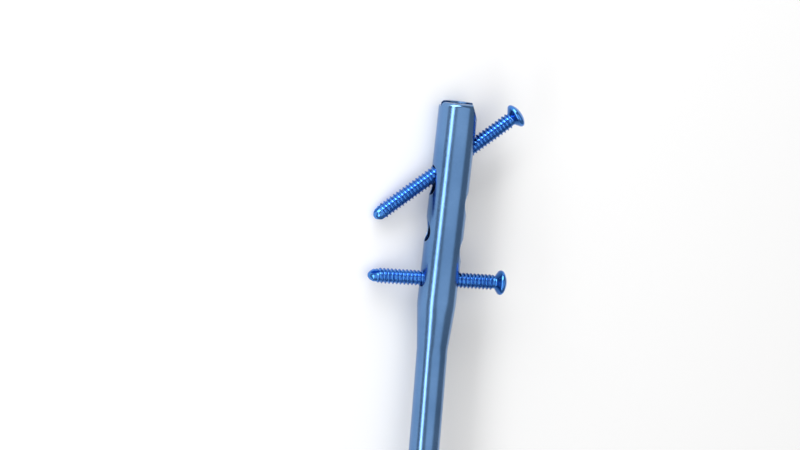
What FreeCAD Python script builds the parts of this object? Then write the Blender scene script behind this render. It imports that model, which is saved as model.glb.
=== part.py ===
import FreeCAD, Part
import math
import os
import Sketcher
from FreeCAD import Placement, Rotation, Vector

# Intramedullary nail for a left thigh bone, with its two upper locking screws in place.
# The nail is one bar: a thick straight driving end, a taper that carries a small bend to the
# side, a thinner shaft bowed to the front, and a bullet tip. It is hollow from end to end.
# The nail's own frame has its origin at the taper's thin end, +Y up the shaft towards the
# driving end, +X to the outer side, where the screw heads are, and +Z to the front.

doc = FreeCAD.newDocument("intramedullary_nail")

# Driving sizes, in millimetres and degrees
sizes = (
    ("nail_length", 340, "driving end to tip, along the axis"),
    ("driving_end_diameter", 12.5, "thick upper part"),
    ("driving_end_length", 65.5, "straight part above the taper"),
    ("taper_length", 14.5, "from the thick part to the shaft"),
    ("shaft_diameter", 10, "thin lower part"),
    ("side_bend", 2, "angle of the driving end to the shaft, seen from the front"),
    ("bow_radius", 1300, "forward bow of the shaft"),
    ("tip_straight", 62, "straight stretch at the lower end, with the nose"),
    ("nose_length", 14, "bullet nose at the tip"),
    ("nose_end_diameter", 6.6, "flat ring round the mouth in the tip"),
    ("bore_diameter", 5, "guide wire bore, from end to end"),
    ("thread_bore_diameter", 7, "bore for the insertion handle's bolt"),
    ("thread_bore_depth", 12, "from the driving end's face"),
    ("mouth_chamfer", 0.5, "edge of the bore at either end"),
    ("rim_round", 1.1, "outer edge of the driving end's face"),
    ("notch_width", 6, "two notches for the insertion handle's keys"),
    ("notch_depth", 1.4, "from the driving end's face"),
    ("relief_width", 1.9, "bevel on the outer side of the face, across"),
    ("relief_height", 4.9, "the same bevel, along the nail"),
    ("face_turn", 13, "notches and bevel, turned from the outer side to the front"),
    ("oblique_hole_place", 18.8, "from the driving end's face, on the axis"),
    ("oblique_hole_angle", 50, "to the driving end's axis"),
    ("cross_hole_place", 8.4, "above the taper, on the axis"),
    ("low_hole_place", 22, "lowest hole, from the tip, side to side"),
    ("middle_hole_place", 34, "front to back, from the tip"),
    ("high_hole_place", 46, "from the tip, side to side"),
    ("hole_edge", 0.3, "chamfer where a locking hole comes out"),
    ("screw_diameter", 5, "over the thread of the two upper screws"),
    ("low_screw_diameter", 4.5, "screws that the three lower holes take"),
    ("hole_clearance", 0.1, "between a screw and its hole, all round"),
    ("oblique_screw_length", 57.5, "tip to crown of the head"),
    ("oblique_head_reach", 25.0, "nail's axis to the head's widest place"),
    ("cross_screw_length", 46, "tip to crown of the head"),
    ("cross_head_reach", 20.5, "nail's axis to the head's widest place"),
    ("screw_tip_length", 3.8, "rounded tip"),
    ("screw_tip_end", 1.2, "diameter of the tip's blunt end"),
    ("neck_diameter", 4, "under the head, where the thread runs out"),
    ("neck_length", 0.3, "under the head"),
    ("head_diameter", 8, "lens head"),
    ("head_underside", 1.95, "from the widest place down to the neck"),
    ("head_edge", 0.9, "radius of the head's round edge"),
    ("head_edge_turn", 50, "how far the edge is round above and below its widest place"),
    ("head_crown", 1.9, "from the widest place up to the top of the dome"),
    ("socket_width", 3.5, "six-sided driver socket, across the flats"),
    ("socket_depth", 2.8, "from the crown"),
    ("socket_mouth", 0.6, "countersink round the socket, past its corners at the crown's height"),
    ("socket_floor", 1, "cone that the drill leaves under the socket"),
    ("flute_length", 5.2, "cutting flutes, from the tip to where they run out"),
    ("flute_depth", 1.25, "into the shank, from the thread's outside"),
    ("flute_count", 3, "round the tip"),
)

sheet = doc.addObject("Spreadsheet::Sheet", "Sizes")
for row, (alias, number, note) in enumerate(sizes, 1):
    sheet.set(f"A{row}", alias)
    sheet.set(f"B{row}", str(number))
    sheet.set(f"C{row}", note)
    sheet.setAlias(f"B{row}", alias)
doc.recompute()


class Formula:
    """A size worked out from the sheet: its text binds a property, its number places a point."""

    def __init__(self, text, number):
        self.text = text
        self.number = number

    def __add__(self, other):
        other = formula(other)
        return Formula(f"({self.text} + {other.text})", self.number + other.number)

    def __sub__(self, other):
        other = formula(other)
        return Formula(f"({self.text} - {other.text})", self.number - other.number)

    def __mul__(self, other):
        other = formula(other)
        return Formula(f"{self.text} * {other.text}", self.number * other.number)

    def __truediv__(self, other):
        other = formula(other)
        return Formula(f"{self.text} / {other.text}", self.number / other.number)

    def __neg__(self):
        return Formula(f"(0 - {self.text})", -self.number)


def formula(value):
    return value if isinstance(value, Formula) else Formula(str(value), value)


def size(alias):
    return Formula(f"Sizes.{alias}", float(sheet.get(alias)))


def sine(angle):
    return Formula(f"sin({angle.text})", math.sin(math.radians(angle.number)))


def cosine(angle):
    return Formula(f"cos({angle.text})", math.cos(math.radians(angle.number)))


def bind(thing, name, value):
    """Sets a property from the sheet; a plain number stays one."""
    value = formula(value)
    if "Sizes." in value.text:
        thing.setExpression(name, value.text)


# Sizes that follow from others
driving_radius = size("driving_end_diameter") / 2
shaft_radius = size("shaft_diameter") / 2
bore_radius = size("bore_diameter") / 2
thread_bore_radius = size("thread_bore_diameter") / 2
screw_radius = size("screw_diameter") / 2
hole_radius = screw_radius + size("hole_clearance")
low_hole_radius = size("low_screw_diameter") / 2 + size("hole_clearance")
bend = size("side_bend")
top = size("driving_end_length")
bow_length = size("nail_length") - top - size("taper_length") - size("tip_straight")
bow_angle = bow_length / size("bow_radius") * 180 / math.pi
cross_place = top - size("cross_hole_place")
overrun = 1.0  # how far a cut runs past a face


# Places on the nail, in its own frame
def on_driving_axis(below_face):
    """A point on the driving end's axis, that far below its face."""
    up = top - below_face
    x = sine(bend / 2) * size("taper_length") + sine(bend) * up
    y = cosine(bend / 2) * size("taper_length") + cosine(bend) * up
    return x, y


def on_tip_axis(above_tip):
    """A point on the straight lower stretch, that far above the tip."""
    along = size("tip_straight") - above_tip
    y = -(size("bow_radius") * sine(bow_angle)) - cosine(bow_angle) * along
    z = -(size("bow_radius") * (formula(1) - cosine(bow_angle))) - sine(bow_angle) * along
    return y, z


driving_end_foot = on_driving_axis(top)
no_turn = formula(0)


# Sketches
def new_sketch(body, name, plane, offset=(0, 0, 0), axis=(0, 0, 1), turn=no_turn):
    """An empty sketch on one of the body's own planes, moved and turned in that plane's frame."""
    sketch = body.newObject("Sketcher::SketchObject", name)
    planes = [f for f in body.Origin.OriginFeatures if f.Role == plane]
    sketch.AttachmentSupport = [(planes[0], "")]
    sketch.MapMode = "FlatFace"
    place = Vector(*(formula(value).number for value in offset))
    sketch.AttachmentOffset = Placement(place, Rotation(Vector(*axis), turn.number))
    for letter, value in zip("xyz", offset):
        bind(sketch, f".AttachmentOffset.Base.{letter}", value)
    bind(sketch, ".AttachmentOffset.Rotation.Angle", turn)
    return sketch


def dimension(sketch, kind, first, value):
    """One bound dimension, from the sketch's origin or of the geometry itself."""
    value = formula(value)
    index = sketch.addConstraint(Sketcher.Constraint(kind, *first, value.number))
    bind(sketch, f"Constraints[{index}]", value)


def arc_between(start, end, rule):
    """The short arc between two points whose centre has one coordinate given by the rule."""
    axis, value = rule
    along = 0 if axis == "centre_x" else 1
    other = 1 - along
    known = formula(value).number
    squares = (end.x**2 + end.y**2) - (start.x**2 + start.y**2)
    rest = squares - 2 * known * (end[along] - start[along])
    centre = Vector()
    centre[along] = known
    centre[other] = rest / (2 * (end[other] - start[other]))
    first = math.atan2(start.y - centre.y, start.x - centre.x)
    last = math.atan2(end.y - centre.y, end.x - centre.x)
    forward = (last - first) % (2 * math.pi) < math.pi
    circle = Part.Circle(centre, Vector(0, 0, 1), (start - centre).Length)
    arc = Part.ArcOfCircle(circle, first, last) if forward else Part.ArcOfCircle(circle, last, first)
    return arc, forward


def outline(sketch, points, closed=True):
    """Joins points by lines. A third entry makes the edge after a point an arc, by its centre."""
    places = [Vector(formula(p[0]).number, formula(p[1]).number, 0) for p in points]
    edges = []
    for i in range(len(points) if closed else len(points) - 1):
        start = places[i]
        end = places[(i + 1) % len(points)]
        if len(points[i]) == 2:
            edge = sketch.addGeometry(Part.LineSegment(start, end))
            edges.append((edge, 1, 2))
            continue
        arc, forward = arc_between(start, end, points[i][2])
        edge = sketch.addGeometry(arc)
        edges.append((edge, 1, 2) if forward else (edge, 2, 1))
        kind = "DistanceX" if points[i][2][0] == "centre_x" else "DistanceY"
        dimension(sketch, kind, (-1, 1, edge, 3), points[i][2][1])
    for i in range(len(edges) if closed else len(edges) - 1):
        this = edges[i]
        after = edges[(i + 1) % len(edges)]
        sketch.addConstraint(Sketcher.Constraint("Coincident", this[0], this[2], after[0], after[1]))
    ends = [(edge, first) for edge, first, last in edges]
    if not closed:
        ends.append((edges[-1][0], edges[-1][2]))
    for (x, y, *rule), (edge, end) in zip(points, ends):
        dimension(sketch, "DistanceX", (-1, 1, edge, end), x)
        dimension(sketch, "DistanceY", (-1, 1, edge, end), y)
    return sketch


def ring(sketch, radius):
    """A circle round the sketch's origin."""
    circle = Part.Circle(Vector(), Vector(0, 0, 1), radius.number)
    edge = sketch.addGeometry(circle)
    sketch.addConstraint(Sketcher.Constraint("Coincident", edge, 3, -1, 1))
    dimension(sketch, "Radius", (edge,), radius)
    return sketch


# Features
def turned(body, kind, name, sketch, axis):
    """A full turn of a sketch about one of its own axes: Revolution adds, Groove cuts."""
    feature = body.newObject(f"PartDesign::{kind}", name)
    feature.Profile = sketch
    feature.ReferenceAxis = (sketch, [axis])
    feature.Angle = 360
    doc.recompute()
    return feature


def pocket(body, name, sketch, depth, both_sides=False):
    feature = body.newObject("PartDesign::Pocket", name)
    feature.Profile = sketch
    feature.Type = "Length"
    if both_sides:
        feature.SideType = "Symmetric"
    bind(feature, "Length", depth)
    doc.recompute()
    return feature


def lofted(body, kind, name, first, last):
    feature = body.newObject(f"PartDesign::{kind}", name)
    feature.Profile = first
    feature.Sections = [last]
    feature.Ruled = True
    doc.recompute()
    return feature


def piped(body, kind, name, profile, path):
    feature = body.newObject(f"PartDesign::{kind}", name)
    feature.Profile = profile
    feature.Spine = (path, ["Edge1", "Edge2"])
    doc.recompute()
    return feature


# The nail
def across_driving_end(body, name, below_face):
    """A sketch square to the driving end's axis, with +X to the outer side and +Y to the front."""
    x, y = on_driving_axis(below_face)
    return new_sketch(body, name, "XZ_Plane", (x, 0, -y), (0, 1, 0), -bend)


def taper_ends(body, name, upper_radius, lower_radius):
    """The circles at the two ends of the taper; the upper one is turned by the side bend."""
    upper = across_driving_end(body, f"{name}_upper", top)
    lower = new_sketch(body, f"{name}_lower", "XZ_Plane")
    return ring(upper, upper_radius), ring(lower, lower_radius)


def driving_end_sketch(body, name):
    """A front view sketch on the driving end's own axis, with its origin at the foot."""
    return new_sketch(body, name, "XY_Plane", (*driving_end_foot, 0), turn=-bend)


def add_driving_end(body):
    rim = size("rim_round")
    sketch = driving_end_sketch(body, "driving_end_outline")
    outline(sketch, [
        (0, 0),
        (driving_radius, 0),
        (driving_radius, top - rim, ("centre_y", top - rim)),
        (driving_radius - rim, top),
        (0, top),
    ])
    turned(body, "Revolution", "driving_end", sketch, "V_Axis")


def add_shaft(body):
    upper, lower = taper_ends(body, "taper", driving_radius, shaft_radius)
    lofted(body, "AdditiveLoft", "taper", upper, lower)
    path = new_sketch(body, "shaft_path", "YZ_Plane")
    outline(path, [(0, 0, ("centre_x", 0)), on_tip_axis(size("tip_straight")), on_tip_axis(0)], closed=False)
    section = ring(new_sketch(body, "shaft_section", "XZ_Plane"), shaft_radius)
    piped(body, "AdditivePipe", "shaft", section, path)
    return path


def tip_sketch(body, name):
    """A side view sketch with its origin at the tip and +X up the nail's axis."""
    return new_sketch(body, name, "YZ_Plane", (*on_tip_axis(0), 0), turn=bow_angle)


def cut_nose(body):
    """Turns the shaft's end down to a bullet nose that leaves a flat ring round the mouth."""
    length = size("nose_length")
    end = size("nose_end_diameter") / 2
    outside = shaft_radius + overrun
    sketch = tip_sketch(body, "nose_outline")
    outline(sketch, [
        (0, end, ("centre_x", length)),
        (length, shaft_radius),
        (length, outside),
        (-overrun, outside),
        (-overrun, end),
    ])
    turned(body, "Groove", "nose", sketch, "H_Axis")


def cut_bore(body, path):
    """The guide wire bore, its mouth in the tip, and the wider bore in the driving end."""
    section = ring(new_sketch(body, "bore_section", "XZ_Plane"), bore_radius)
    piped(body, "SubtractivePipe", "shaft_bore", section, path)
    upper, lower = taper_ends(body, "taper_bore", bore_radius, bore_radius)
    lofted(body, "SubtractiveLoft", "taper_bore", upper, lower)
    chamfer = size("mouth_chamfer")
    sketch = tip_sketch(body, "tip_mouth_outline")
    outline(sketch, [
        (-chamfer, 0),
        (-chamfer, bore_radius + chamfer * 2),
        (chamfer, bore_radius),
        (chamfer, 0),
    ])
    turned(body, "Groove", "tip_mouth", sketch, "H_Axis")
    step = top - size("thread_bore_depth")
    sketch = driving_end_sketch(body, "driving_end_bore_outline")
    outline(sketch, [
        (0, 0),
        (bore_radius, 0),
        (bore_radius, step - (thread_bore_radius - bore_radius)),
        (thread_bore_radius, step),
        (thread_bore_radius, top - chamfer),
        (thread_bore_radius + chamfer * 2, top + chamfer),
        (0, top + chamfer),
    ])
    turned(body, "Groove", "driving_end_bore", sketch, "V_Axis")


def turned_block(body, name, below_face, near, far, half_width):
    """A rectangle across the driving end, between two distances from its axis."""
    turn = size("face_turn")
    corners = [(near, -half_width), (far, -half_width), (far, half_width), (near, half_width)]
    return outline(across_driving_end(body, name, below_face), [
        (cosine(turn) * x - sine(turn) * y, sine(turn) * x + cosine(turn) * y) for x, y in corners
    ])


def cut_driving_face(body):
    """The bevel on the outer side of the face, and the two notches across it."""
    outside = driving_radius + overrun
    across = size("relief_width")
    along = size("relief_height")
    past = across / along * overrun
    far = outside + past
    lower = turned_block(body, "relief_lower", along + overrun, driving_radius + past, far, outside)
    inner = driving_radius - across - past
    upper = turned_block(body, "relief_upper", formula(-overrun), inner, far, outside)
    lofted(body, "SubtractiveLoft", "relief", lower, upper)
    depth = size("notch_depth")
    floor = turned_block(body, "notch_outline", depth, -outside, outside, size("notch_width") / 2)
    pocket(body, "notches", floor, depth + overrun)


def cut_locking_hole(body, name, radius, plane, place, turn, axis):
    """A plain round hole right through, about one axis of a sketch on the nail's axis."""
    reach = size("driving_end_diameter") * 2
    corners = [(0, -reach), (radius, -reach), (radius, reach), (0, reach)]
    if axis == "H_Axis":
        corners = [(y, x) for x, y in corners]
    sketch = outline(new_sketch(body, f"{name}_outline", plane, place, turn=turn), corners)
    turned(body, "Groove", name, sketch, axis)
    return sketch


def from_line(point, origin, direction):
    return (point - origin).cross(direction).Length


def is_exit_edge(edge, sketch, axis, radius, nail_axis, nail_radius):
    """True for an edge on a locking hole's wall that also lies on the nail's outside."""
    origin = sketch.Placement.Base
    across = Vector(1, 0, 0) if axis == "H_Axis" else Vector(0, 1, 0)
    hole_axis = sketch.Placement.Rotation.multVec(across)
    near = 0.02
    return all(
        abs(from_line(point, origin, hole_axis) - radius.number) < near
        and abs(from_line(point, origin, nail_axis) - nail_radius.number) < near
        for point in edge.discretize(9)
    )


def break_hole_edges(body, holes):
    """A small chamfer where each locking hole comes out of the nail."""
    base = body.Tip
    names = [
        f"Edge{number}"
        for number, edge in enumerate(base.Shape.Edges, 1)
        if any(is_exit_edge(edge, *hole) for hole in holes)
    ]
    feature = body.newObject("PartDesign::Chamfer", "hole_edges")
    feature.Base = (base, names)
    bind(feature, "Size", size("hole_edge"))
    doc.recompute()


def make_nail():
    body = doc.addObject("PartDesign::Body", "nail")
    body.Label = "nail"
    add_driving_end(body)
    path = add_shaft(body)
    cut_nose(body)
    cut_bore(body, path)
    cut_driving_face(body)
    driving_axis = Vector(sine(bend).number, cosine(bend).number, 0)
    tip_axis = Vector(0, cosine(bow_angle).number, sine(bow_angle).number)
    holes = []
    for name, place, angle in (
        ("oblique_hole", size("oblique_hole_place"), size("oblique_hole_angle")),
        ("cross_hole", cross_place, formula(90)),
    ):
        place = (*on_driving_axis(place), 0)
        sketch = cut_locking_hole(body, name, hole_radius, "XY_Plane", place, -(bend + angle), "V_Axis")
        holes.append((sketch, "V_Axis", hole_radius, driving_axis, driving_radius))
    for name, place in (("low_hole", size("low_hole_place")), ("high_hole", size("high_hole_place"))):
        place = (0, *on_tip_axis(place))
        sketch = cut_locking_hole(body, name, low_hole_radius, "XY_Plane", place, no_turn, "H_Axis")
        holes.append((sketch, "H_Axis", low_hole_radius, tip_axis, shaft_radius))
    place = (*on_tip_axis(size("middle_hole_place")), 0)
    sketch = cut_locking_hole(body, "middle_hole", low_hole_radius, "YZ_Plane", place, bow_angle, "V_Axis")
    holes.append((sketch, "V_Axis", low_hole_radius, tip_axis, shaft_radius))
    break_hole_edges(body, holes)
    return body


# The screws
def cut_socket(body, name, crown):
    """A six-sided socket with a countersunk mouth and a drilled floor."""
    half_width = size("socket_width") / 2
    corner = half_width / cosine(formula(30))
    floor = crown - size("socket_depth")
    sketch = new_sketch(body, f"{name}_socket_outline", "XY_Plane", (0, 0, crown))
    outline(sketch, [(corner * cosine(formula(60 * i)), corner * sine(formula(60 * i))) for i in range(6)])
    pocket(body, f"{name}_socket", sketch, size("socket_depth"))
    mouth = corner + size("socket_mouth")
    sketch = new_sketch(body, f"{name}_socket_mouth_outline", "XZ_Plane")
    outline(sketch, [(0, crown - mouth), (mouth + overrun, crown + overrun), (0, crown + overrun)])
    turned(body, "Groove", f"{name}_socket_mouth", sketch, "V_Axis")
    sketch = new_sketch(body, f"{name}_socket_floor_outline", "XZ_Plane")
    drilled = floor - size("socket_floor")
    outline(sketch, [(0, drilled), (half_width / 6, drilled), (half_width, floor), (0, floor)])
    turned(body, "Groove", f"{name}_socket_floor", sketch, "V_Axis")


def cut_flutes(body, name, tip):
    """Cutting flutes at the tip, each as deep as a disc cutter leaves it."""
    length = size("flute_length")
    depth = size("flute_depth")
    cutter_radius = (length * length + depth * depth) / (depth * 2)
    outside = screw_radius + overrun
    middle = screw_radius - depth + cutter_radius
    sketch = new_sketch(body, f"{name}_flute_outline", "XY_Plane", (middle, 0, tip))
    outline(sketch, [(-cutter_radius, 0), (0, 0), (0, outside), (-cutter_radius, outside)])
    flute = turned(body, "Groove", f"{name}_flute", sketch, "V_Axis")
    flutes = body.newObject("PartDesign::PolarPattern", f"{name}_flutes")
    flutes.Originals = [flute]
    screw_axis = [f for f in body.Origin.OriginFeatures if f.Role == "Z_Axis"][0]
    flutes.Axis = (screw_axis, [""])
    flutes.Angle = 360
    bind(flutes, "Occurrences", size("flute_count"))
    body.Tip = flutes
    doc.recompute()


def make_screw(name, length):
    """A fully threaded locking screw, at its size over the thread. Its own frame has +Z out of
    the head and its origin at the head's widest place."""
    body = doc.addObject("PartDesign::Body", name)
    body.Label = name
    head_radius = size("head_diameter") / 2
    neck_radius = size("neck_diameter") / 2
    edge = size("head_edge")
    edge_radius = head_radius - edge + edge * cosine(size("head_edge_turn"))
    edge_height = edge * sine(size("head_edge_turn"))
    crown = size("head_crown")
    neck_top = -size("head_underside")
    neck_foot = neck_top - size("neck_length")
    tip = crown - length
    shoulder = tip + size("screw_tip_length")
    sketch = new_sketch(body, f"{name}_outline", "XZ_Plane")
    outline(sketch, [
        (0, tip),
        (size("screw_tip_end") / 2, tip, ("centre_y", shoulder)),
        (screw_radius, shoulder),
        (screw_radius, neck_foot - (screw_radius - neck_radius)),
        (neck_radius, neck_foot),
        (neck_radius, neck_top),
        (edge_radius, -edge_height, ("centre_y", 0)),
        (head_radius, 0, ("centre_y", 0)),
        (edge_radius, edge_height, ("centre_x", 0)),
        (0, crown),
    ])
    turned(body, "Revolution", f"{name}_blank", sketch, "V_Axis")
    cut_socket(body, name, crown)
    cut_flutes(body, name, tip)
    return body


def in_hole(place, angle, reach):
    """Where a screw's own frame lies in the nail's frame, with its head on the outer side."""
    x, y = on_driving_axis(place)
    turn = math.radians((bend + angle).number)
    out = Vector(math.sin(turn), math.cos(turn), 0)
    centre = Vector(x.number, y.number, 0)
    return Placement(centre + out * reach.number, Rotation(Vector(0, 0, 1), out))


# Rest on the floor
def lowest(points, turn):
    return min(points, key=lambda p: turn.multVec(p).z)


def resting_turn(rim_points, nose_points, screw_points):
    """The turn that stands the nail on its driving end, its nose and a screw's tip."""
    first_roll = -18
    rounds = 20
    turn = Rotation(Vector(0, 1, 0), first_roll)
    for _ in range(rounds):
        rim, nose, screw = (turn.multVec(lowest(group, turn)) for group in (rim_points, nose_points, screw_points))
        normal = (rim - nose).cross(screw - nose)
        if normal.z < 0:
            normal = -normal
        turn = Rotation(normal, Vector(0, 0, 1)) * turn
    rim, nose = (turn.multVec(lowest(group, turn)) for group in (rim_points, nose_points))
    along = rim - nose
    along.z = 0
    return Rotation(along, Vector(0, 1, 0)) * turn


def settle(parts):
    """Lays the parts, which stand in the nail's frame, on the floor with the origin under them."""
    fine = 0.02
    nail_points = parts[0].Shape.tessellate(fine)[0]
    screw_points = [p for part in parts[1:] for p in part.Shape.tessellate(fine)[0] if p.x < 0]
    quarter = size("nail_length").number / 4
    highest = max(p.y for p in nail_points)
    lowest_y = min(p.y for p in nail_points)
    rim_points = [p for p in nail_points if p.y > highest - quarter]
    nose_points = [p for p in nail_points if p.y < lowest_y + quarter]
    rest = Placement(Vector(), resting_turn(rim_points, nose_points, screw_points))
    for part in parts:
        part.Placement = rest * part.Placement
    box = Part.makeCompound([part.Shape for part in parts]).optimalBoundingBox(False)
    shift = Placement(Vector(-box.Center.x, -box.Center.y, -box.ZMin), Rotation())
    for part in parts:
        part.Placement = shift * part.Placement


nail = make_nail()
oblique_screw = make_screw("oblique_locking_screw", size("oblique_screw_length"))
oblique_screw.Placement = in_hole(
    size("oblique_hole_place"), size("oblique_hole_angle"), size("oblique_head_reach")
)
cross_screw = make_screw("transverse_locking_screw", size("cross_screw_length"))
cross_screw.Placement = in_hole(cross_place, formula(90), size("cross_head_reach"))
parts = (nail, oblique_screw, cross_screw)
doc.recompute()
settle(parts)
doc.recompute()

for thing in doc.Objects:
    if "Invalid" in thing.State or "Error" in thing.State:
        raise RuntimeError(f"{thing.Label} failed: {thing.State}")
for part in parts:
    if part.Shape.isNull() or not part.Shape.isValid():
        raise RuntimeError(f"{part.Label} has no valid shape")

os.makedirs("parts", exist_ok=True)
for part in parts:
    part.Shape.exportStep(f"parts/{part.Label}.step")
    print(part.Label, len(part.Shape.Solids), round(part.Shape.Volume, 1), part.Shape.BoundBox)
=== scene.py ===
import math

import bmesh
import bpy
from mathutils import Matrix, Vector


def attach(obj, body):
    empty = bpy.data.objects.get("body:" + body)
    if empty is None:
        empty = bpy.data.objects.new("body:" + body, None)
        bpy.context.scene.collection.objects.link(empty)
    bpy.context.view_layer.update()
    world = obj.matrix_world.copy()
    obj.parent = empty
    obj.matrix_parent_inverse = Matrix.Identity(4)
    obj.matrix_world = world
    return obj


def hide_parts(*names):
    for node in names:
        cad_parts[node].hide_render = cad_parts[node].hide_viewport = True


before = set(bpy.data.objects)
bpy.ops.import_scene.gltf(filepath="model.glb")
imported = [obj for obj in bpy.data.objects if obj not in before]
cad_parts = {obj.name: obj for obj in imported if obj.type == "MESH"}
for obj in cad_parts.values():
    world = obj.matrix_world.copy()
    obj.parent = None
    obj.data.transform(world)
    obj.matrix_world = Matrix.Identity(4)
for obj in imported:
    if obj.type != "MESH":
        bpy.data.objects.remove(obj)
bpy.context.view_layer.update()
print("frame loaded:", ", ".join(sorted(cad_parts)))

# Everything is modelled in millimetres, each piece in its own frame, then laid in place in metres.
# The nail's frame has its origin at the taper's thin end, +Y up to the driving end, +X to the
# outer side, where the screw heads are, and +Z to the front.
nailPlace = (
    (0.961892009, 0.011344888, -0.273194173, -1.233679850),
    (0.006882917, 0.997817635, 0.065670333, 89.837268098),
    (0.273342986, -0.065048141, 0.959714724, 10.693413263),
)

nailSizes = {
    "around": 144,                # sides of the round outside
    "boreAround": 72,
    "length": 340.0,
    "drivingRadius": 6.25,
    "drivingLength": 65.5,
    "taperLength": 14.5,
    "shaftRadius": 5.0,
    "sideBend": 2.0,              # degrees, driving end to shaft
    "bowRadius": 1300.0,
    "tipStraight": 62.0,
    "noseLength": 14.0,
    "noseEndRadius": 3.3,
    "noseLip": 0.25,              # rounding at the very end
    "ringStep": 2.2,              # length of a face along the nail
    "boreRadius": 2.5,
    "wideBoreRadius": 3.5,
    "threadOutsideRadius": 3.95,
    "threadPitch": 1.25,
    "threadDepth": 12.0,
    "mouthChamfer": 0.5,
    "rimRound": 1.1,
    "notchWidth": 6.0,
    "notchDepth": 1.4,
    "reliefWidth": 1.9,
    "reliefHeight": 4.9,
    "faceTurn": 13.0,             # degrees, notches and bevel turned to the front
}

holeSizes = {
    "around": 96,
    "edge": 0.42,                 # rounding where a hole comes out
    "screwRadius": 2.6,
    "lowRadius": 2.35,
    "obliquePlace": 18.8,         # from the driving face
    "obliqueAngle": 50.0,
    "crossPlace": 57.1,
    "slantRadius": 3.4,           # two empty holes that slant up to the inner side
    "slantPlaces": (29.1, 44.1),
    "slantAngle": 66.0,
    "slantTurn": 7.0,             # degrees, their outer ends turned to the front
    "lowPlaces": (22.0, 46.0),    # from the tip, side to side
    "middlePlace": 34.0,          # from the tip, front to back
}


# Picking, editing, cutting
def pick(piece):
    if bpy.context.mode != "OBJECT":
        bpy.ops.object.mode_set(mode="OBJECT")
    bpy.ops.object.select_all(action="DESELECT")
    piece.select_set(True)
    bpy.context.view_layer.objects.active = piece


def startEditing(piece):
    pick(piece)
    bpy.ops.object.mode_set(mode="EDIT")
    bpy.ops.mesh.select_mode(type="VERT")


def stopEditing():
    bpy.ops.object.mode_set(mode="OBJECT")


def moveSelected(piece, newPlace):
    mesh = bmesh.from_edit_mesh(piece.data)
    for vertex in mesh.verts:
        if vertex.select:
            vertex.co = newPlace(vertex.co)
    bmesh.update_edit_mesh(piece.data)


def closeUp(piece):
    startEditing(piece)
    bpy.ops.mesh.select_all(action="SELECT")
    bpy.ops.mesh.normals_make_consistent(inside=False)
    stopEditing()


def applyAll(piece):
    pick(piece)
    for modifier in list(piece.modifiers):
        bpy.ops.object.modifier_apply(modifier=modifier.name)


def cut(piece, tool, how="DIFFERENCE"):
    pick(piece)
    modifier = piece.modifiers.new("cut", "BOOLEAN")
    modifier.operation = how
    modifier.solver = "MANIFOLD"
    modifier.object = tool
    bpy.ops.object.modifier_apply(modifier=modifier.name)
    bpy.data.objects.remove(tool)


def applyPlace(piece, place):
    piece.matrix_world = place
    pick(piece)
    bpy.ops.object.transform_apply(location=True, rotation=True, scale=True)


# from the piece's own frame in millimetres to the scene in metres
def layInPlace(piece, rows):
    applyPlace(piece, Matrix.Scale(0.001, 4) @ Matrix((*rows, (0, 0, 0, 1))))


def tidyMesh(piece, sharpAngle):
    startEditing(piece)
    bpy.ops.mesh.select_all(action="SELECT")
    bpy.ops.mesh.remove_doubles(threshold=0.0008)
    bpy.ops.mesh.dissolve_degenerate(threshold=0.0005)
    bpy.ops.mesh.select_all(action="SELECT")
    bpy.ops.mesh.normals_make_consistent(inside=False)
    stopEditing()
    bpy.ops.object.shade_smooth_by_angle(angle=math.radians(sharpAngle))


# a number at each point, which a material reads as an attribute
def writeValue(piece, name, valueAt):
    attribute = piece.data.attributes.new(name, "FLOAT", "POINT")
    for vertex, item in zip(piece.data.vertices, attribute.data):
        item.value = valueAt(vertex.co)


# keeps the small faces round a hole from denting the shine of the big ones beside them
def evenNormals(piece):
    pick(piece)
    modifier = piece.modifiers.new("normals", "WEIGHTED_NORMAL")
    modifier.mode = "FACE_AREA"
    modifier.weight = 50
    modifier.keep_sharp = True
    bpy.ops.object.modifier_apply(modifier=modifier.name)


# Round bars: a filled circle, pulled on ring by ring
def towards(axis):
    return axis.to_track_quat("Z", "Y").to_matrix().to_4x4()


def makeBar(name, around, stations):
    centre, axis, radius = stations[0]
    bpy.ops.mesh.primitive_circle_add(vertices=around, radius=radius, fill_type="NGON")
    piece = bpy.context.active_object
    piece.name = name
    applyPlace(piece, Matrix.Translation(centre) @ towards(axis))
    startEditing(piece)
    bpy.ops.mesh.select_all(action="SELECT")
    for nextCentre, nextAxis, nextRadius in stations[1:]:
        turn = axis.rotation_difference(nextAxis).to_matrix().to_4x4()
        carry = (
            Matrix.Translation(nextCentre) @ turn @ Matrix.Scale(nextRadius / radius, 4)
            @ Matrix.Translation(-centre)
        )
        bpy.ops.mesh.extrude_region_move(TRANSFORM_OT_translate={"value": (0, 0, 0)})
        moveSelected(piece, lambda co: carry @ co)
        centre, axis, radius = nextCentre, nextAxis, nextRadius
    stopEditing()
    closeUp(piece)
    return piece


def makeTurned(name, around, outline):
    up = Vector((0, 0, 1))
    return makeBar(name, around, [(Vector((0, 0, z)), up, radius) for radius, z in outline])


# Places along the nail's axis
def drivingPoint(belowFace):
    bend = math.radians(nailSizes["sideBend"])
    up = nailSizes["drivingLength"] - belowFace
    foot = nailSizes["taperLength"]
    return Vector((
        math.sin(bend / 2) * foot + math.sin(bend) * up,
        math.cos(bend / 2) * foot + math.cos(bend) * up,
        0,
    ))


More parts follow.
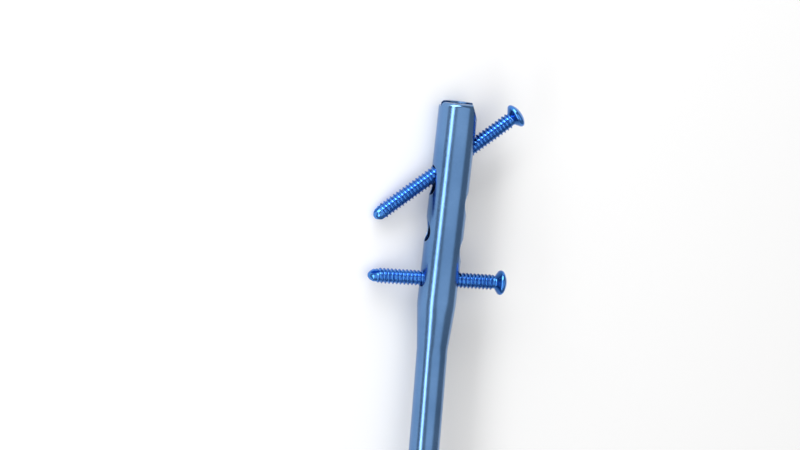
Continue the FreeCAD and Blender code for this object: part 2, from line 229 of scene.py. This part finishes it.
def nailStation(belowFace):
    sizes = nailSizes
    bend = math.radians(sizes["sideBend"])
    straightEnd = sizes["drivingLength"]
    bowStart = straightEnd + sizes["taperLength"]
    bowLength = sizes["length"] - bowStart - sizes["tipStraight"]
    if belowFace <= straightEnd:
        return drivingPoint(belowFace), Vector((-math.sin(bend), -math.cos(bend), 0))
    if belowFace <= bowStart:
        share = (bowStart - belowFace) / sizes["taperLength"]
        axis = Vector((-math.sin(bend * share), -math.cos(bend * share), 0))
        return drivingPoint(straightEnd) * share, axis
    turn = min(belowFace - bowStart, bowLength) / sizes["bowRadius"]
    axis = Vector((0, -math.cos(turn), -math.sin(turn)))
    place = Vector((0, -math.sin(turn), math.cos(turn) - 1)) * sizes["bowRadius"]
    return place + axis * max(belowFace - bowStart - bowLength, 0), axis


def radiusAt(belowFace):
    sizes = nailSizes
    aboveTip = sizes["length"] - belowFace
    rim = sizes["rimRound"]
    if belowFace < rim:
        dip = rim - belowFace
        return sizes["drivingRadius"] - rim + math.sqrt(max(rim ** 2 - dip ** 2, 0))
    if belowFace <= sizes["drivingLength"]:
        return sizes["drivingRadius"]
    if belowFace <= sizes["drivingLength"] + sizes["taperLength"]:
        share = (belowFace - sizes["drivingLength"]) / sizes["taperLength"]
        return sizes["drivingRadius"] + (sizes["shaftRadius"] - sizes["drivingRadius"]) * share
    if aboveTip >= sizes["noseLength"]:
        return sizes["shaftRadius"]
    drop = sizes["shaftRadius"] - sizes["noseEndRadius"]
    ogive = (sizes["noseLength"] ** 2 + drop ** 2) / (2 * drop)
    back = sizes["noseLength"] - aboveTip
    return sizes["shaftRadius"] - ogive + math.sqrt(ogive ** 2 - back ** 2)


def spread(start, end, step):
    count = max(round((end - start) / step), 1)
    return [start + (end - start) * i / count for i in range(count)]


def makeNailBlank():
    sizes = nailSizes
    rim, step = sizes["rimRound"], sizes["ringStep"]
    bowStart = sizes["drivingLength"] + sizes["taperLength"]
    noseStart = sizes["length"] - sizes["noseLength"]
    lip = sizes["noseLip"]
    stops = [rim * (1 - math.cos(math.radians(angle))) for angle in range(0, 90, 12)]
    stops += spread(rim, sizes["drivingLength"], step)
    stops += spread(sizes["drivingLength"], bowStart, step)
    stops += spread(bowStart, noseStart, step)
    stops += spread(noseStart, sizes["length"] - lip, 0.8)
    rings = [(*nailStation(stop), radiusAt(stop)) for stop in stops]
    for angle in range(0, 91, 18):
        out = math.cos(math.radians(angle)) * lip
        down = math.sin(math.radians(angle)) * lip
        stop = sizes["length"] - lip + down
        rings.append((*nailStation(stop), radiusAt(sizes["length"] - lip) - lip + out))
    return makeBar("nailDetailed", sizes["around"], rings)


def makeBoreTool():
    sizes = nailSizes
    bore, depth = sizes["boreRadius"], sizes["threadDepth"]
    chamfer, length = sizes["mouthChamfer"], sizes["length"]
    outline = [(depth - 1, bore)]
    outline += [(stop, bore) for stop in spread(depth + 3, length - chamfer, sizes["ringStep"])]
    outline += [(length - chamfer, bore), (length + chamfer, bore + chamfer * 2)]
    stations = [(*nailStation(stop), radius) for stop, radius in outline]
    return makeBar("boreTool", sizes["boreAround"], stations)


def makeWideBoreTool():
    sizes = nailSizes
    bore, wide, depth = sizes["boreRadius"], sizes["wideBoreRadius"], sizes["threadDepth"]
    chamfer = sizes["mouthChamfer"]
    outline = (
        (-chamfer, wide + chamfer * 2),
        (chamfer, wide),
        (depth, wide),
        (depth + wide - bore + 0.5, bore - 0.5),
    )
    stations = [(*nailStation(stop), radius) for stop, radius in outline]
    return makeBar("wideBoreTool", sizes["around"], stations)


# a drill that flares where it comes out, so that the hole's edge is round
def makeHoleTool(centre, holeAxis, nailAxis, holeRadius, nailRadius):
    slant = holeAxis.dot(nailAxis)
    across = (holeAxis - nailAxis * slant).normalized()
    square = holeAxis.dot(across)
    edge = holeSizes["edge"]
    far = nailRadius * 3
    roundOver = []
    for angle in (0, 18, 36, 54, 72):
        turn = math.radians(angle)
        roundOver.append((edge * (1 - math.cos(turn)), -edge * (1 - math.sin(turn))))
    roundOver.append((edge * 1.12, edge * 0.1))

    def exitHeight(side, angle, radius):
        half = math.sqrt(nailRadius ** 2 - (radius * math.sin(angle)) ** 2)
        return (side * half - radius * math.cos(angle) * slant) / square

    rings = [(-1, roundOver[-1][0], None)]
    rings += [(-1, out, lift) for out, lift in reversed(roundOver)]
    rings += [(1, out, lift) for out, lift in roundOver]
    rings.append((1, roundOver[-1][0], None))
    bpy.ops.mesh.primitive_circle_add(vertices=holeSizes["around"], radius=holeRadius, fill_type="NGON")
    tool = bpy.context.active_object
    startEditing(tool)
    bpy.ops.mesh.select_all(action="SELECT")
    for number, (side, out, lift) in enumerate(rings):
        def onRing(co):
            angle = math.atan2(co.y, co.x)
            radius = holeRadius + out
            height = side * far
            if lift is not None:
                height = exitHeight(side, angle, radius) + side * lift
            return Vector((radius * math.cos(angle), radius * math.sin(angle), height))

        if number:
            bpy.ops.mesh.extrude_region_move(TRANSFORM_OT_translate={"value": (0, 0, 0)})
        moveSelected(tool, onRing)
    stopEditing()
    lean = -nailAxis * square + across * slant
    sideways = holeAxis.cross(lean)
    rows = [(lean[i], sideways[i], holeAxis[i], centre[i]) for i in range(3)]
    applyPlace(tool, Matrix((*rows, (0, 0, 0, 1))))
    closeUp(tool)
    return tool


# a block whose inner side is at a place on the driving end
def makeFaceTool(size, belowFace, out, slope):
    bpy.ops.mesh.primitive_cube_add(size=1)
    tool = bpy.context.active_object
    applyPlace(
        tool,
        Matrix.Translation(drivingPoint(belowFace))
        @ Matrix.Rotation(math.radians(-nailSizes["sideBend"]), 4, "Z")
        @ Matrix.Rotation(math.radians(-nailSizes["faceTurn"]), 4, "Y")
        @ Matrix.Translation((out, 0, 0)) @ Matrix.Rotation(slope, 4, "Z")
        @ Matrix.Translation((size[0] / 2, 0, 0)) @ Matrix.Diagonal((*size, 1)),
    )
    return tool


# Threads: one tooth drawn point by point, repeated, and screwed round once
threadShape = {
    "around": 72,
    # share of the pitch, share of the depth
    "tooth": (
        (0.0, 0.0), (0.15, 0.0), (0.22, 0.06), (0.28, 0.25), (0.345, 0.6), (0.40, 0.9), (0.46, 1.0),
        (0.54, 1.0), (0.60, 0.9), (0.655, 0.6), (0.72, 0.25), (0.78, 0.06), (0.85, 0.0), (1.0, 0.0),
    ),
}


def makeThreadedRod(name, start, end, core, outside, pitch, envelope):
    teeth = math.ceil((end - start) / pitch) + 2
    bpy.ops.mesh.primitive_plane_add(size=1)
    rod = bpy.context.active_object
    rod.name = name
    startEditing(rod)
    bpy.ops.mesh.select_all(action="SELECT")
    bpy.ops.mesh.merge(type="CENTER")
    first = start - pitch * 1.5
    for number, (along, out) in enumerate(threadShape["tooth"]):
        place = Vector((core + (outside - core) * out, 0, first + pitch * along))
        if number:
            bpy.ops.mesh.extrude_region_move(TRANSFORM_OT_translate={"value": (0, 0, 0)})
        moveSelected(rod, lambda co: place)
    stopEditing()
    row = rod.modifiers.new("teeth", "ARRAY")
    row.use_relative_offset = False
    row.use_constant_offset = True
    row.constant_offset_displace = (0, 0, pitch)
    row.count = teeth
    row.use_merge_vertices = True
    row.merge_threshold = 0.002
    sweep = rod.modifiers.new("sweep", "SCREW")
    sweep.axis = "Z"
    sweep.angle = math.radians(360)
    sweep.screw_offset = pitch
    sweep.steps = threadShape["around"]
    sweep.render_steps = threadShape["around"]
    applyAll(rod)
    startEditing(rod)
    bpy.ops.mesh.select_all(action="SELECT")
    bpy.ops.mesh.remove_doubles(threshold=0.004)

    def shaped(co):
        radius = math.hypot(co.x, co.y)
        share = (radius - core) / (outside - core)
        low, high = envelope(co.z)
        wanted = low + (high - low) * share
        return Vector((co.x * wanted / radius, co.y * wanted / radius, co.z))

    bpy.ops.mesh.select_all(action="SELECT")
    moveSelected(rod, shaped)
    for height, lower, upper in ((start, True, False), (end, False, True)):
        bpy.ops.mesh.select_all(action="SELECT")
        bpy.ops.mesh.bisect(
            plane_co=(0, 0, height), plane_no=(0, 0, 1), use_fill=True, clear_inner=lower, clear_outer=upper
        )
    stopEditing()
    closeUp(rod)
    return rod


def cutDrivingFace(bar):
    sizes = nailSizes
    tall = 20.0                   # more than the cuts need
    notch = makeFaceTool((tall, tall, sizes["notchWidth"]), sizes["notchDepth"] - tall / 2, -tall / 2, 0)
    cut(bar, notch)
    slope = math.atan2(sizes["reliefWidth"], sizes["reliefHeight"])
    cut(bar, makeFaceTool((tall, tall * 2, tall * 2), sizes["reliefHeight"], sizes["drivingRadius"], slope))


# leans from the driving end's axis to the outer side, then turns round the axis to the front
def drivingDirection(lean, turn=0):
    leaning = Vector((math.sin(math.radians(lean)), math.cos(math.radians(lean)), 0))
    turned = Matrix.Rotation(math.radians(-turn), 3, "Y") @ leaning
    return Matrix.Rotation(math.radians(-nailSizes["sideBend"]), 3, "Z") @ turned


def drillHoles(bar):
    sizes, holes = nailSizes, holeSizes
    side = Vector((1, 0, 0))

    def drillDrivingEnd(place, direction, radius):
        centre, nailAxis = nailStation(place)
        cut(bar, makeHoleTool(centre, direction, nailAxis, radius, sizes["drivingRadius"]))

    def drillTipEnd(place, toFront):
        centre, nailAxis = nailStation(sizes["length"] - place)
        direction = side.cross(-nailAxis) if toFront else side
        cut(bar, makeHoleTool(centre, direction, nailAxis, holes["lowRadius"], sizes["shaftRadius"]))

    drillDrivingEnd(holes["obliquePlace"], drivingDirection(holes["obliqueAngle"]), holes["screwRadius"])
    drillDrivingEnd(holes["crossPlace"], drivingDirection(90), holes["screwRadius"])
    drillTipEnd(holes["middlePlace"], True)
    slanting = drivingDirection(-holes["slantAngle"], holes["slantTurn"])
    for place in holes["slantPlaces"]:
        drillDrivingEnd(place, slanting, holes["slantRadius"])
    for place in holes["lowPlaces"]:
        drillTipEnd(place, False)


def threadDrivingEnd(bar):
    sizes = nailSizes
    core, outside = sizes["wideBoreRadius"] - 0.05, sizes["threadOutsideRadius"]
    depth = sizes["threadDepth"]

    # the last turns at the bottom get shallower
    def envelope(z):
        return core, outside - 0.55 * max(0, min(1, (2.2 - z) / 1.2))

    rod = makeThreadedRod("threadTool", 0, depth + 1.5, core, outside, sizes["threadPitch"], envelope)
    applyPlace(rod, Matrix.Translation(drivingPoint(depth)) @ towards(-nailStation(0)[1]))
    cut(bar, rod)


def makeNail():
    bar = makeNailBlank()
    print("nail blank pulled")
    cut(bar, makeBoreTool())
    cut(bar, makeWideBoreTool())
    print("nail bored")
    cutDrivingFace(bar)
    drillHoles(bar)
    print("nail drilled")
    threadDrivingEnd(bar)
    print("nail threaded")
    tidyMesh(bar, 32)
    writeValue(bar, "alongAxis", lambda co: co.y)
    layInPlace(bar, nailPlace)
    evenNormals(bar)
    return bar


# Screws, in a frame with +Z out of the head and the origin at the head's widest place
screwSizes = {
    "outsideRadius": 2.5,
    "coreRadius": 2.04,
    "pitch": 1.25,
    "tipLength": 3.8,
    "tipEndRadius": 0.6,
    "tipRound": 0.25,
    "plainTip": 1.9,              # before the thread grows in
    "threadGrowth": 1.9,
    "neckRadius": 2.0,
    "neckLength": 0.3,
    "headAround": 96,
    "headRadius": 4.0,
    "headUnderside": 1.95,
    "headEdge": 0.9,              # radius of the head's round edge
    "headEdgeTurn": 50,
    "headCrown": 1.9,
    "socketWidth": 3.5,
    "socketDepth": 2.8,
    "socketMouth": 0.6,
    "socketFloor": 1.0,
    "fluteLength": 5.2,
    "fluteDepth": 1.25,
    "fluteCount": 3,
}

screws = {
    "obliqueScrewDetailed": {
        "node": "oblique_locking_screw",
        "length": 57.5,
        "place": (
            (0.574370633, -0.291419993, 0.764965858, 20.395540085),
            (-0.533229128, 0.575835858, 0.619741690, 166.379619329),
            (-0.621099890, -0.763863504, 0.175349578, 11.612868948),
        ),
    },
    "transverseScrewDetailed": {
        "node": "transverse_locking_screw",
        "length": 46.0,
        "place": (
            (0.274595000, 0.035345829, 0.960910120, 19.250092921),
            (-0.030819825, 0.999134244, -0.027944609, 112.110877523),
            (-0.961065931, -0.021941632, 0.275446620, 15.000247273),
        ),
    },
}


def easeIn(value):
    value = max(0.0, min(1.0, value))
    return value * value * (3 - 2 * value)


def makeHead():
    sizes = screwSizes
    neck, wide, edge = sizes["neckRadius"], sizes["headRadius"], sizes["headEdge"]
    crown, under = sizes["headCrown"], -sizes["headUnderside"]
    turn = sizes["headEdgeTurn"]

    def onEdge(angle):
        return wide - edge + edge * math.cos(math.radians(angle)), edge * math.sin(math.radians(angle))

    outline = [(neck, under - sizes["neckLength"] - 0.25), (neck, under - 0.3), (neck + 0.03, under - 0.12)]
    footRadius, footHeight = onEdge(-turn)
    for share in (0.08, 0.2, 0.4, 0.6, 0.8, 0.93):
        outline.append((neck + (footRadius - neck) * share, under + (footHeight - under) * share))
    for angle in range(-turn, turn + 1, 10):
        outline.append(onEdge(angle))
    rim, height = outline[-1]
    dome = (rim ** 2 + (crown - height) ** 2) / (2 * (crown - height))
    for share in (0.95, 0.88, 0.8, 0.72, 0.64, 0.56, 0.48, 0.4, 0.3, 0.2):
        outline.append((rim * share, crown - dome + math.sqrt(dome ** 2 - (rim * share) ** 2)))
    return makeTurned("screwHead", sizes["headAround"], outline)


def cutSocket(screw):
    sizes = screwSizes
    around, crown = sizes["headAround"], sizes["headCrown"]
    halfWidth = sizes["socketWidth"] / 2
    corner = halfWidth / math.cos(math.radians(30))
    mouth = corner + sizes["socketMouth"]
    floor = crown - sizes["socketDepth"]
    cut(screw, makeTurned("socketTool", 6, ((corner, floor), (corner, crown + 1))))
    cut(screw, makeTurned("mouthTool", around, ((0.4, crown - mouth + 0.4), (mouth + 1, crown + 1))))
    drill = ((halfWidth / 6, floor - sizes["socketFloor"]), (halfWidth, floor), (halfWidth, floor + 0.1))
    cut(screw, makeTurned("drillTool", 48, drill))


def cutFlutes(screw, tip):
    sizes = screwSizes
    length, depth, outside = sizes["fluteLength"], sizes["fluteDepth"], sizes["outsideRadius"]
    cutter = (length ** 2 + depth ** 2) / (2 * depth)
    lying = Matrix.Rotation(math.radians(-90), 4, "X")
    aside = Matrix.Translation((outside - depth + cutter, 0, tip)) @ lying
    for number in range(sizes["fluteCount"]):
        disc = makeTurned("fluteTool", 160, ((cutter, 0), (cutter, outside + 1)))
        turn = math.radians(360 / sizes["fluteCount"] * number)
        applyPlace(disc, Matrix.Rotation(turn, 4, "Z") @ aside)
        cut(screw, disc)


def makeScrew(name, length):
    sizes = screwSizes
    tip = sizes["headCrown"] - length
    shoulder = tip + sizes["tipLength"]
    neckFoot = -(sizes["headUnderside"] + sizes["neckLength"])
    core, outside = sizes["coreRadius"], sizes["outsideRadius"]
    drop = outside - sizes["tipEndRadius"]
    ogive = (sizes["tipLength"] ** 2 + drop ** 2) / (2 * drop)
    tipRound = sizes["tipRound"]

    # how deep and how far out the thread lies at a height
    def envelope(z):
        back = min(max(shoulder - z, 0), sizes["tipLength"])
        skin = outside - ogive + math.sqrt(ogive ** 2 - back ** 2)
        blunt = min(max(tip + tipRound - z, 0), tipRound)
        skin -= tipRound - math.sqrt(tipRound ** 2 - blunt ** 2)
        low = min(core, skin)
        grown = easeIn((z - tip - sizes["plainTip"]) / sizes["threadGrowth"])
        high = low + (min(outside, skin) - low) * grown
        closing = easeIn((neckFoot + 0.1 - z) / 0.7)
        low -= 0.1 * (1 - easeIn((neckFoot - 0.1 - z) / 0.25))
        return low, low + (high - low) * closing

    screw = makeThreadedRod(name, tip, neckFoot + 0.3, core, outside, sizes["pitch"], envelope)
    cut(screw, makeHead(), "UNION")
    cutSocket(screw)
    cutFlutes(screw, tip)
    tidyMesh(screw, 42)

    def toothHeight(co):
        return easeIn((math.hypot(co.x, co.y) - core) / (outside - core)) if co.z < neckFoot else 0.0

    writeValue(screw, "alongAxis", lambda co: co.z)
    writeValue(screw, "toothHeight", toothHeight)
    return screw


# Anodised metal: a thin blue oxide over turned and polished titanium
metalLooks = {
    "nail": {
        "deep": (0.110, 0.230, 0.450),
        "light": (0.140, 0.275, 0.515),
        "roughness": (0.20, 0.27),
        "lines": 0.05,            # strength of the turning lines
    },
    "screw": {
        "deep": (0.050, 0.195, 0.590),
        "light": (0.080, 0.265, 0.710),
        # painted shade: a darker colour laid on the thread's teeth
        "teeth": (0.030, 0.13, 0.44),
        "roughness": (0.13, 0.22),
        "lines": 0.08,
    },
}


def anodisedMetal(name, look):
    material = bpy.data.materials.new(name)
    material.use_nodes = True
    nodes, links = material.node_tree.nodes, material.node_tree.links
    shader = nodes["Principled BSDF"]
    shader.inputs["Metallic"].default_value = 1.0
    spot = nodes.new("ShaderNodeTexCoord").outputs["Object"]

    def readValue(attribute):
        node = nodes.new("ShaderNodeAttribute")
        node.attribute_name = attribute
        return node.outputs["Fac"]

    def noise(scale, detail, place=spot):
        node = nodes.new("ShaderNodeTexNoise")
        node.inputs["Scale"].default_value = scale
        node.inputs["Detail"].default_value = detail
        links.new(place, node.inputs["Vector"])
        return node.outputs["Fac"]

    def blendColours(share, first, second):
        node = nodes.new("ShaderNodeMix")
        node.data_type = "RGBA"
        links.new(share, node.inputs["Factor"])
        for socket, colour in ((6, first), (7, second)):
            if isinstance(colour, tuple):
                node.inputs[socket].default_value = (*colour, 1)
            else:
                links.new(colour, node.inputs[socket])
        return node.outputs[2]

    def remap(value, low, high, lowest, highest):
        node = nodes.new("ShaderNodeMapRange")
        limits = {"From Min": low, "From Max": high, "To Min": lowest, "To Max": highest}
        for socket, limit in limits.items():
            node.inputs[socket].default_value = limit
        links.new(value, node.inputs["Value"])
        return node.outputs["Result"]

    def multiply(first, second):
        node = nodes.new("ShaderNodeMath")
        node.operation = "MULTIPLY"
        links.new(first, node.inputs[0])
        links.new(second, node.inputs[1])
        return node.outputs[0]

    # the oxide's colour drifts in soft clouds; the teeth of a thread are painted darker in patches, as
    # painted shade
    cloud = remap(noise(60, 4), 0.35, 0.65, 0, 1)
    colour = blendColours(cloud, look["deep"], look["light"])
    if "teeth" in look:
        # painted shade on the thread's teeth, broken into patches by noise
        shadePatches = remap(noise(900, 4), 0.3, 0.6, 0.25, 1)
        shadeOnTeeth = multiply(readValue("toothHeight"), shadePatches)
        colour = blendColours(shadeOnTeeth, colour, look["teeth"])
    links.new(colour, shader.inputs["Base Color"])

    smooth, rough = look["roughness"]
    speckle = remap(noise(1400, 3), 0.4, 0.7, 0, 1)
    links.new(remap(speckle, 0, 1, smooth, rough), shader.inputs["Roughness"])

    # fine turning lines, round the axis
    ringPlace = nodes.new("ShaderNodeCombineXYZ")
    links.new(readValue("alongAxis"), ringPlace.inputs["X"])
    bump = nodes.new("ShaderNodeBump")
    bump.inputs["Strength"].default_value = look["lines"]
    bump.inputs["Distance"].default_value = 0.00002
    links.new(noise(9, 3, ringPlace.outputs["Vector"]), bump.inputs["Height"])
    links.new(bump.outputs["Normal"], shader.inputs["Normal"])
    return material


def finishPiece(piece, node, metal):
    piece.data.materials.clear()
    piece.data.materials.append(metal)
    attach(piece, "root")
    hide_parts(node)
    print(piece.name, "made:", len(piece.data.polygons), "faces")


finishPiece(makeNail(), "nail", anodisedMetal("nail metal", metalLooks["nail"]))
screwMetal = anodisedMetal("screw metal", metalLooks["screw"])
for name, screw in screws.items():
    piece = makeScrew(name, screw["length"])
    layInPlace(piece, screw["place"])
    finishPiece(piece, screw["node"], screwMetal)


# Floor: pale grey to the light, white to the camera and to what the metal mirrors
floorLook = {
    "size": 12,
    "lit": (0.88, 0.88, 0.88, 1),
    "seen": (1, 1, 1, 1),
    "roughness": 0.9,
}


def addFloor():
    bpy.ops.mesh.primitive_plane_add(size=floorLook["size"])
    floor = bpy.context.active_object
    floor.name = "floor"
    paint = bpy.data.materials.new("floor paint")
    paint.use_nodes = True
    nodes, links = paint.node_tree.nodes, paint.node_tree.links
    shader = nodes["Principled BSDF"]
    shader.inputs["Roughness"].default_value = floorLook["roughness"]
    ray = nodes.new("ShaderNodeLightPath")
    seenOrMirrored = nodes.new("ShaderNodeMath")
    seenOrMirrored.operation = "MAXIMUM"
    colour = nodes.new("ShaderNodeMix")
    colour.data_type = "RGBA"
    colour.inputs[6].default_value = floorLook["lit"]
    colour.inputs[7].default_value = floorLook["seen"]
    links.new(ray.outputs["Is Camera Ray"], seenOrMirrored.inputs[0])
    links.new(ray.outputs["Is Glossy Ray"], seenOrMirrored.inputs[1])
    links.new(seenOrMirrored.outputs[0], colour.inputs["Factor"])
    links.new(colour.outputs[2], shader.inputs["Base Color"])
    floor.data.materials.append(paint)


# A long strip for the bright line down the nail, and two soft boxes for the rest
lamps = {
    "keyStrip": {"place": (-1.34, -0.20, 0.80), "aim": (0, 0.05, 0), "size": (2.6, 0.36), "power": 14.5},
    "topSoftbox": {"place": (0.06, 0.1, 1.85), "aim": (0, 0.05, 0), "size": (2.2, 2.2), "power": 10.5},
    "endSoftbox": {"place": (-0.64, 1.22, 0.40), "aim": (0, 0.14, 0), "size": (1.3, 0.76), "power": 18},
}
worldStrength = 0.36


def addLamps():
    for name, lamp in lamps.items():
        bpy.ops.object.light_add(type="AREA", location=lamp["place"])
        light = bpy.context.active_object
        light.name = name
        light.data.shape = "RECTANGLE"
        light.data.size, light.data.size_y = lamp["size"]
        light.data.energy = lamp["power"]
        aim = Vector(lamp["aim"]) - Vector(lamp["place"])
        light.rotation_euler = aim.to_track_quat("-Z", "Y").to_euler()
    world = bpy.data.worlds.new("studio")
    bpy.context.scene.world = world
    world.use_nodes = True
    background = world.node_tree.nodes["Background"]
    background.inputs["Color"].default_value = (1, 1, 1, 1)
    background.inputs["Strength"].default_value = worldStrength


cameraView = {
    "place": (-0.30476124536, 0.27008635248, 0.50910614129),
    "right": (0.87370425, 0.09367967, 0.47735208),
    "up": (0.03287273, 0.96766927, -0.25007114),
    "back": (-0.48534552, 0.23418008, 0.84237724),
    "lens": 85,
}


def addCamera():
    bpy.ops.object.camera_add()
    camera = bpy.context.active_object
    camera.data.lens = cameraView["lens"]
    camera.data.sensor_width = 36
    camera.data.clip_start = 0.01
    columns = (cameraView["right"], cameraView["up"], cameraView["back"], cameraView["place"])
    camera.matrix_world = Matrix((*zip(*columns), (0, 0, 0, 1)))
    bpy.context.scene.camera = camera


addFloor()
addLamps()
addCamera()
bpy.context.scene.view_settings.view_transform = "Standard"
print("floor, lamps and camera set")
